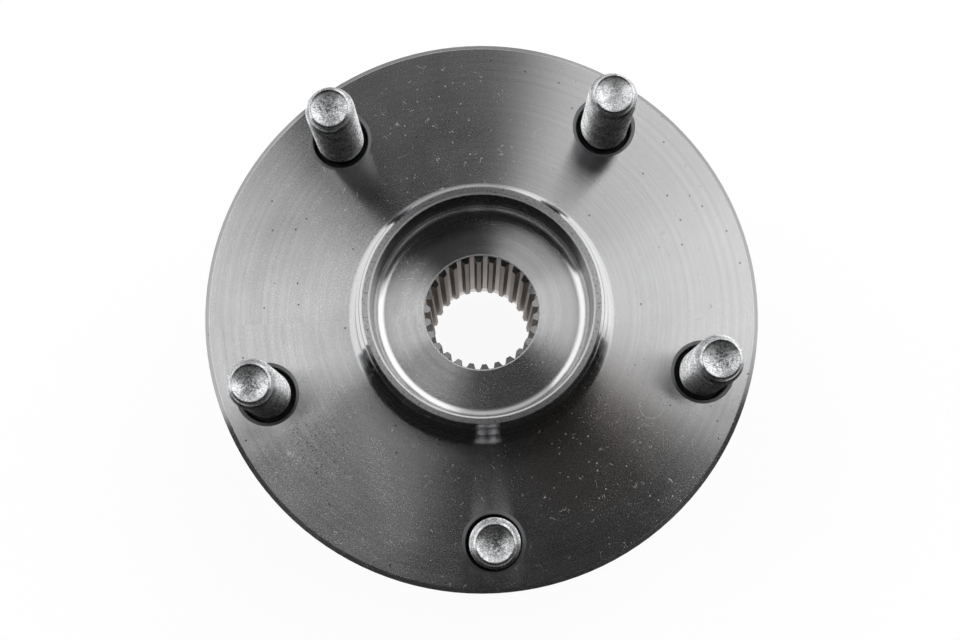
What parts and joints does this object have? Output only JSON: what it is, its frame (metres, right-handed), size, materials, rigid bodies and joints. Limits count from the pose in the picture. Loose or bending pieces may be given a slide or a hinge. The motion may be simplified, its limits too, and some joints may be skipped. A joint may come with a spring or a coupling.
{
  "type": "wheel hub bearing",
  "caption": "Driven wheel hub unit: studded wheel flange and splined hub turning in a double-row angular contact ball bearing whose outer ring bolts to the knuckle.",
  "frame": {"origin": "centre of the stud circle, on the face of the wheel flange", "axes": "+Z along the axis of rotation, outboard towards the wheel; one stud lies on -Y"},
  "size_m": [0.139, 0.139, 0.0955],
  "materials": {
    "hub_steel": "turned and ground bearing steel, satin, lightly scratched",
    "race_steel": "forged and turned bearing steel, ground on the seats",
    "stud_steel": "zinc plated, grainy",
    "ball_steel": "lapped, mirror bright",
    "cage_polyamide": "glass-filled polyamide, natural",
    "seal_steel": "pressed sheet, dull",
    "seal_rubber": "nitrile rubber, matt",
    "encoder_ferrite": "ferrite-filled rubber, matt dark brown"
  },
  "bodies": {
    "knuckle_side": {"outer_ring": "race_steel", "outboard_seal_case": "seal_steel", "outboard_seal_lips": "seal_rubber", "inboard_seal_case": "seal_steel", "inboard_seal_lips": "seal_rubber"},
    "wheel_hub": {"hub_flange": "hub_steel", "wheel_stud_1": "stud_steel", "wheel_stud_2": "stud_steel", "wheel_stud_3": "stud_steel", "wheel_stud_4": "stud_steel", "wheel_stud_5": "stud_steel", "inner_ring": "race_steel", "seal_slinger": "seal_steel", "encoder_ring": "encoder_ferrite"},
    "outboard_cage": {"outboard_cage": "cage_polyamide"},
    "outboard_ball_01": {"outboard_ball_01": "ball_steel"},
    "outboard_ball_02": {"outboard_ball_02": "ball_steel"},
    "outboard_ball_03": {"outboard_ball_03": "ball_steel"},
    "outboard_ball_04": {"outboard_ball_04": "ball_steel"},
    "outboard_ball_05": {"outboard_ball_05": "ball_steel"},
    "outboard_ball_06": {"outboard_ball_06": "ball_steel"},
    "outboard_ball_07": {"outboard_ball_07": "ball_steel"},
    "outboard_ball_08": {"outboard_ball_08": "ball_steel"},
    "outboard_ball_09": {"outboard_ball_09": "ball_steel"},
    "outboard_ball_10": {"outboard_ball_10": "ball_steel"},
    "outboard_ball_11": {"outboard_ball_11": "ball_steel"},
    "outboard_ball_12": {"outboard_ball_12": "ball_steel"},
    "outboard_ball_13": {"outboard_ball_13": "ball_steel"},
    "inboard_cage": {"inboard_cage": "cage_polyamide"},
    "inboard_ball_01": {"inboard_ball_01": "ball_steel"},
    "inboard_ball_02": {"inboard_ball_02": "ball_steel"},
    "inboard_ball_03": {"inboard_ball_03": "ball_steel"},
    "inboard_ball_04": {"inboard_ball_04": "ball_steel"},
    "inboard_ball_05": {"inboard_ball_05": "ball_steel"},
    "inboard_ball_06": {"inboard_ball_06": "ball_steel"},
    "inboard_ball_07": {"inboard_ball_07": "ball_steel"},
    "inboard_ball_08": {"inboard_ball_08": "ball_steel"},
    "inboard_ball_09": {"inboard_ball_09": "ball_steel"},
    "inboard_ball_10": {"inboard_ball_10": "ball_steel"},
    "inboard_ball_11": {"inboard_ball_11": "ball_steel"},
    "inboard_ball_12": {"inboard_ball_12": "ball_steel"},
    "inboard_ball_13": {"inboard_ball_13": "ball_steel"}
  },
  "joints": [
    {"name": "hub_spin", "type": "hinge", "parent": "knuckle_side", "child": "wheel_hub", "pos_m": [0, 0, 0], "axis": [0, 0, 1], "continuous": true},
    {"name": "outboard_cage_orbit", "type": "hinge", "parent": "knuckle_side", "child": "outboard_cage", "pos_m": [0, 0, -0.02835], "axis": [0, 0, 1], "continuous": true},
    {"name": "outboard_ball_01_roll", "type": "hinge", "parent": "outboard_cage", "child": "outboard_ball_01", "pos_m": [0, 0.032, -0.02835], "axis": [0, 0.5736, 0.8192], "continuous": true},
    {"name": "outboard_ball_02_roll", "type": "hinge", "parent": "outboard_cage", "child": "outboard_ball_02", "pos_m": [-0.01487, 0.02833, -0.02835], "axis": [-0.2666, 0.5079, 0.8192], "continuous": true},
    {"name": "outboard_ball_03_roll", "type": "hinge", "parent": "outboard_cage", "child": "outboard_ball_03", "pos_m": [-0.02634, 0.01818, -0.02835], "axis": [-0.472, 0.3258, 0.8192], "continuous": true},
    {"name": "outboard_ball_04_roll", "type": "hinge", "parent": "outboard_cage", "child": "outboard_ball_04", "pos_m": [-0.03177, 0.00386, -0.02835], "axis": [-0.5694, 0.0691, 0.8192], "continuous": true},
    {"name": "outboard_ball_05_roll", "type": "hinge", "parent": "outboard_cage", "child": "outboard_ball_05", "pos_m": [-0.02992, -0.01135, -0.02835], "axis": [-0.5363, -0.2034, 0.8192], "continuous": true},
    {"name": "outboard_ball_06_roll", "type": "hinge", "parent": "outboard_cage", "child": "outboard_ball_06", "pos_m": [-0.02122, -0.02395, -0.02835], "axis": [-0.3804, -0.4293, 0.8192], "continuous": true},
    {"name": "outboard_ball_07_roll", "type": "hinge", "parent": "outboard_cage", "child": "outboard_ball_07", "pos_m": [-0.00766, -0.03107, -0.02835], "axis": [-0.1373, -0.5569, 0.8192], "continuous": true},
    {"name": "outboard_ball_08_roll", "type": "hinge", "parent": "outboard_cage", "child": "outboard_ball_08", "pos_m": [0.00766, -0.03107, -0.02835], "axis": [0.1373, -0.5569, 0.8192], "continuous": true},
    {"name": "outboard_ball_09_roll", "type": "hinge", "parent": "outboard_cage", "child": "outboard_ball_09", "pos_m": [0.02122, -0.02395, -0.02835], "axis": [0.3804, -0.4293, 0.8192], "continuous": true},
    {"name": "outboard_ball_10_roll", "type": "hinge", "parent": "outboard_cage", "child": "outboard_ball_10", "pos_m": [0.02992, -0.01135, -0.02835], "axis": [0.5363, -0.2034, 0.8192], "continuous": true},
    {"name": "outboard_ball_11_roll", "type": "hinge", "parent": "outboard_cage", "child": "outboard_ball_11", "pos_m": [0.03177, 0.00386, -0.02835], "axis": [0.5694, 0.0691, 0.8192], "continuous": true},
    {"name": "outboard_ball_12_roll", "type": "hinge", "parent": "outboard_cage", "child": "outboard_ball_12", "pos_m": [0.02634, 0.01818, -0.02835], "axis": [0.472, 0.3258, 0.8192], "continuous": true},
    {"name": "outboard_ball_13_roll", "type": "hinge", "parent": "outboard_cage", "child": "outboard_ball_13", "pos_m": [0.01487, 0.02833, -0.02835], "axis": [0.2666, 0.5079, 0.8192], "continuous": true},
    {"name": "inboard_cage_orbit", "type": "hinge", "parent": "knuckle_side", "child": "inboard_cage", "pos_m": [0, 0, -0.04685], "axis": [0, 0, 1], "continuous": true},
    {"name": "inboard_ball_01_roll", "type": "hinge", "parent": "inboard_cage", "child": "inboard_ball_01", "pos_m": [0, 0.032, -0.04685], "axis": [0, -0.5736, 0.8192], "continuous": true},
    {"name": "inboard_ball_02_roll", "type": "hinge", "parent": "inboard_cage", "child": "inboard_ball_02", "pos_m": [-0.01487, 0.02833, -0.04685], "axis": [0.2666, -0.5079, 0.8192], "continuous": true},
    {"name": "inboard_ball_03_roll", "type": "hinge", "parent": "inboard_cage", "child": "inboard_ball_03", "pos_m": [-0.02634, 0.01818, -0.04685], "axis": [0.472, -0.3258, 0.8192], "continuous": true},
    {"name": "inboard_ball_04_roll", "type": "hinge", "parent": "inboard_cage", "child": "inboard_ball_04", "pos_m": [-0.03177, 0.00386, -0.04685], "axis": [0.5694, -0.0691, 0.8192], "continuous": true},
    {"name": "inboard_ball_05_roll", "type": "hinge", "parent": "inboard_cage", "child": "inboard_ball_05", "pos_m": [-0.02992, -0.01135, -0.04685], "axis": [0.5363, 0.2034, 0.8192], "continuous": true},
    {"name": "inboard_ball_06_roll", "type": "hinge", "parent": "inboard_cage", "child": "inboard_ball_06", "pos_m": [-0.02122, -0.02395, -0.04685], "axis": [0.3804, 0.4293, 0.8192], "continuous": true},
    {"name": "inboard_ball_07_roll", "type": "hinge", "parent": "inboard_cage", "child": "inboard_ball_07", "pos_m": [-0.00766, -0.03107, -0.04685], "axis": [0.1373, 0.5569, 0.8192], "continuous": true},
    {"name": "inboard_ball_08_roll", "type": "hinge", "parent": "inboard_cage", "child": "inboard_ball_08", "pos_m": [0.00766, -0.03107, -0.04685], "axis": [-0.1373, 0.5569, 0.8192], "continuous": true},
    {"name": "inboard_ball_09_roll", "type": "hinge", "parent": "inboard_cage", "child": "inboard_ball_09", "pos_m": [0.02122, -0.02395, -0.04685], "axis": [-0.3804, 0.4293, 0.8192], "continuous": true},
    {"name": "inboard_ball_10_roll", "type": "hinge", "parent": "inboard_cage", "child": "inboard_ball_10", "pos_m": [0.02992, -0.01135, -0.04685], "axis": [-0.5363, 0.2034, 0.8192], "continuous": true},
    {"name": "inboard_ball_11_roll", "type": "hinge", "parent": "inboard_cage", "child": "inboard_ball_11", "pos_m": [0.03177, 0.00386, -0.04685], "axis": [-0.5694, -0.0691, 0.8192], "continuous": true},
    {"name": "inboard_ball_12_roll", "type": "hinge", "parent": "inboard_cage", "child": "inboard_ball_12", "pos_m": [0.02634, 0.01818, -0.04685], "axis": [-0.472, -0.3258, 0.8192], "continuous": true},
    {"name": "inboard_ball_13_roll", "type": "hinge", "parent": "inboard_cage", "child": "inboard_ball_13", "pos_m": [0.01487, 0.02833, -0.04685], "axis": [-0.2666, -0.5079, 0.8192], "continuous": true}
  ],
  "couplings": [
    {"joint": "outboard_cage_orbit", "follows": "hub_spin", "ratio": 0.4187},
    {"joint": "outboard_ball_01_roll", "follows": "hub_spin", "ratio": -2.4531},
    {"joint": "outboard_ball_02_roll", "follows": "hub_spin", "ratio": -2.4531},
    {"joint": "outboard_ball_03_roll", "follows": "hub_spin", "ratio": -2.4531},
    {"joint": "outboard_ball_04_roll", "follows": "hub_spin", "ratio": -2.4531},
    {"joint": "outboard_ball_05_roll", "follows": "hub_spin", "ratio": -2.4531},
    {"joint": "outboard_ball_06_roll", "follows": "hub_spin", "ratio": -2.4531},
    {"joint": "outboard_ball_07_roll", "follows": "hub_spin", "ratio": -2.4531},
    {"joint": "outboard_ball_08_roll", "follows": "hub_spin", "ratio": -2.4531},
    {"joint": "outboard_ball_09_roll", "follows": "hub_spin", "ratio": -2.4531},
    {"joint": "outboard_ball_10_roll", "follows": "hub_spin", "ratio": -2.4531},
    {"joint": "outboard_ball_11_roll", "follows": "hub_spin", "ratio": -2.4531},
    {"joint": "outboard_ball_12_roll", "follows": "hub_spin", "ratio": -2.4531},
    {"joint": "outboard_ball_13_roll", "follows": "hub_spin", "ratio": -2.4531},
    {"joint": "inboard_cage_orbit", "follows": "hub_spin", "ratio": 0.4187},
    {"joint": "inboard_ball_01_roll", "follows": "hub_spin", "ratio": -2.4531},
    {"joint": "inboard_ball_02_roll", "follows": "hub_spin", "ratio": -2.4531},
    {"joint": "inboard_ball_03_roll", "follows": "hub_spin", "ratio": -2.4531},
    {"joint": "inboard_ball_04_roll", "follows": "hub_spin", "ratio": -2.4531},
    {"joint": "inboard_ball_05_roll", "follows": "hub_spin", "ratio": -2.4531},
    {"joint": "inboard_ball_06_roll", "follows": "hub_spin", "ratio": -2.4531},
    {"joint": "inboard_ball_07_roll", "follows": "hub_spin", "ratio": -2.4531},
    {"joint": "inboard_ball_08_roll", "follows": "hub_spin", "ratio": -2.4531},
    {"joint": "inboard_ball_09_roll", "follows": "hub_spin", "ratio": -2.4531},
    {"joint": "inboard_ball_10_roll", "follows": "hub_spin", "ratio": -2.4531},
    {"joint": "inboard_ball_11_roll", "follows": "hub_spin", "ratio": -2.4531},
    {"joint": "inboard_ball_12_roll", "follows": "hub_spin", "ratio": -2.4531},
    {"joint": "inboard_ball_13_roll", "follows": "hub_spin", "ratio": -2.4531}
  ]
}
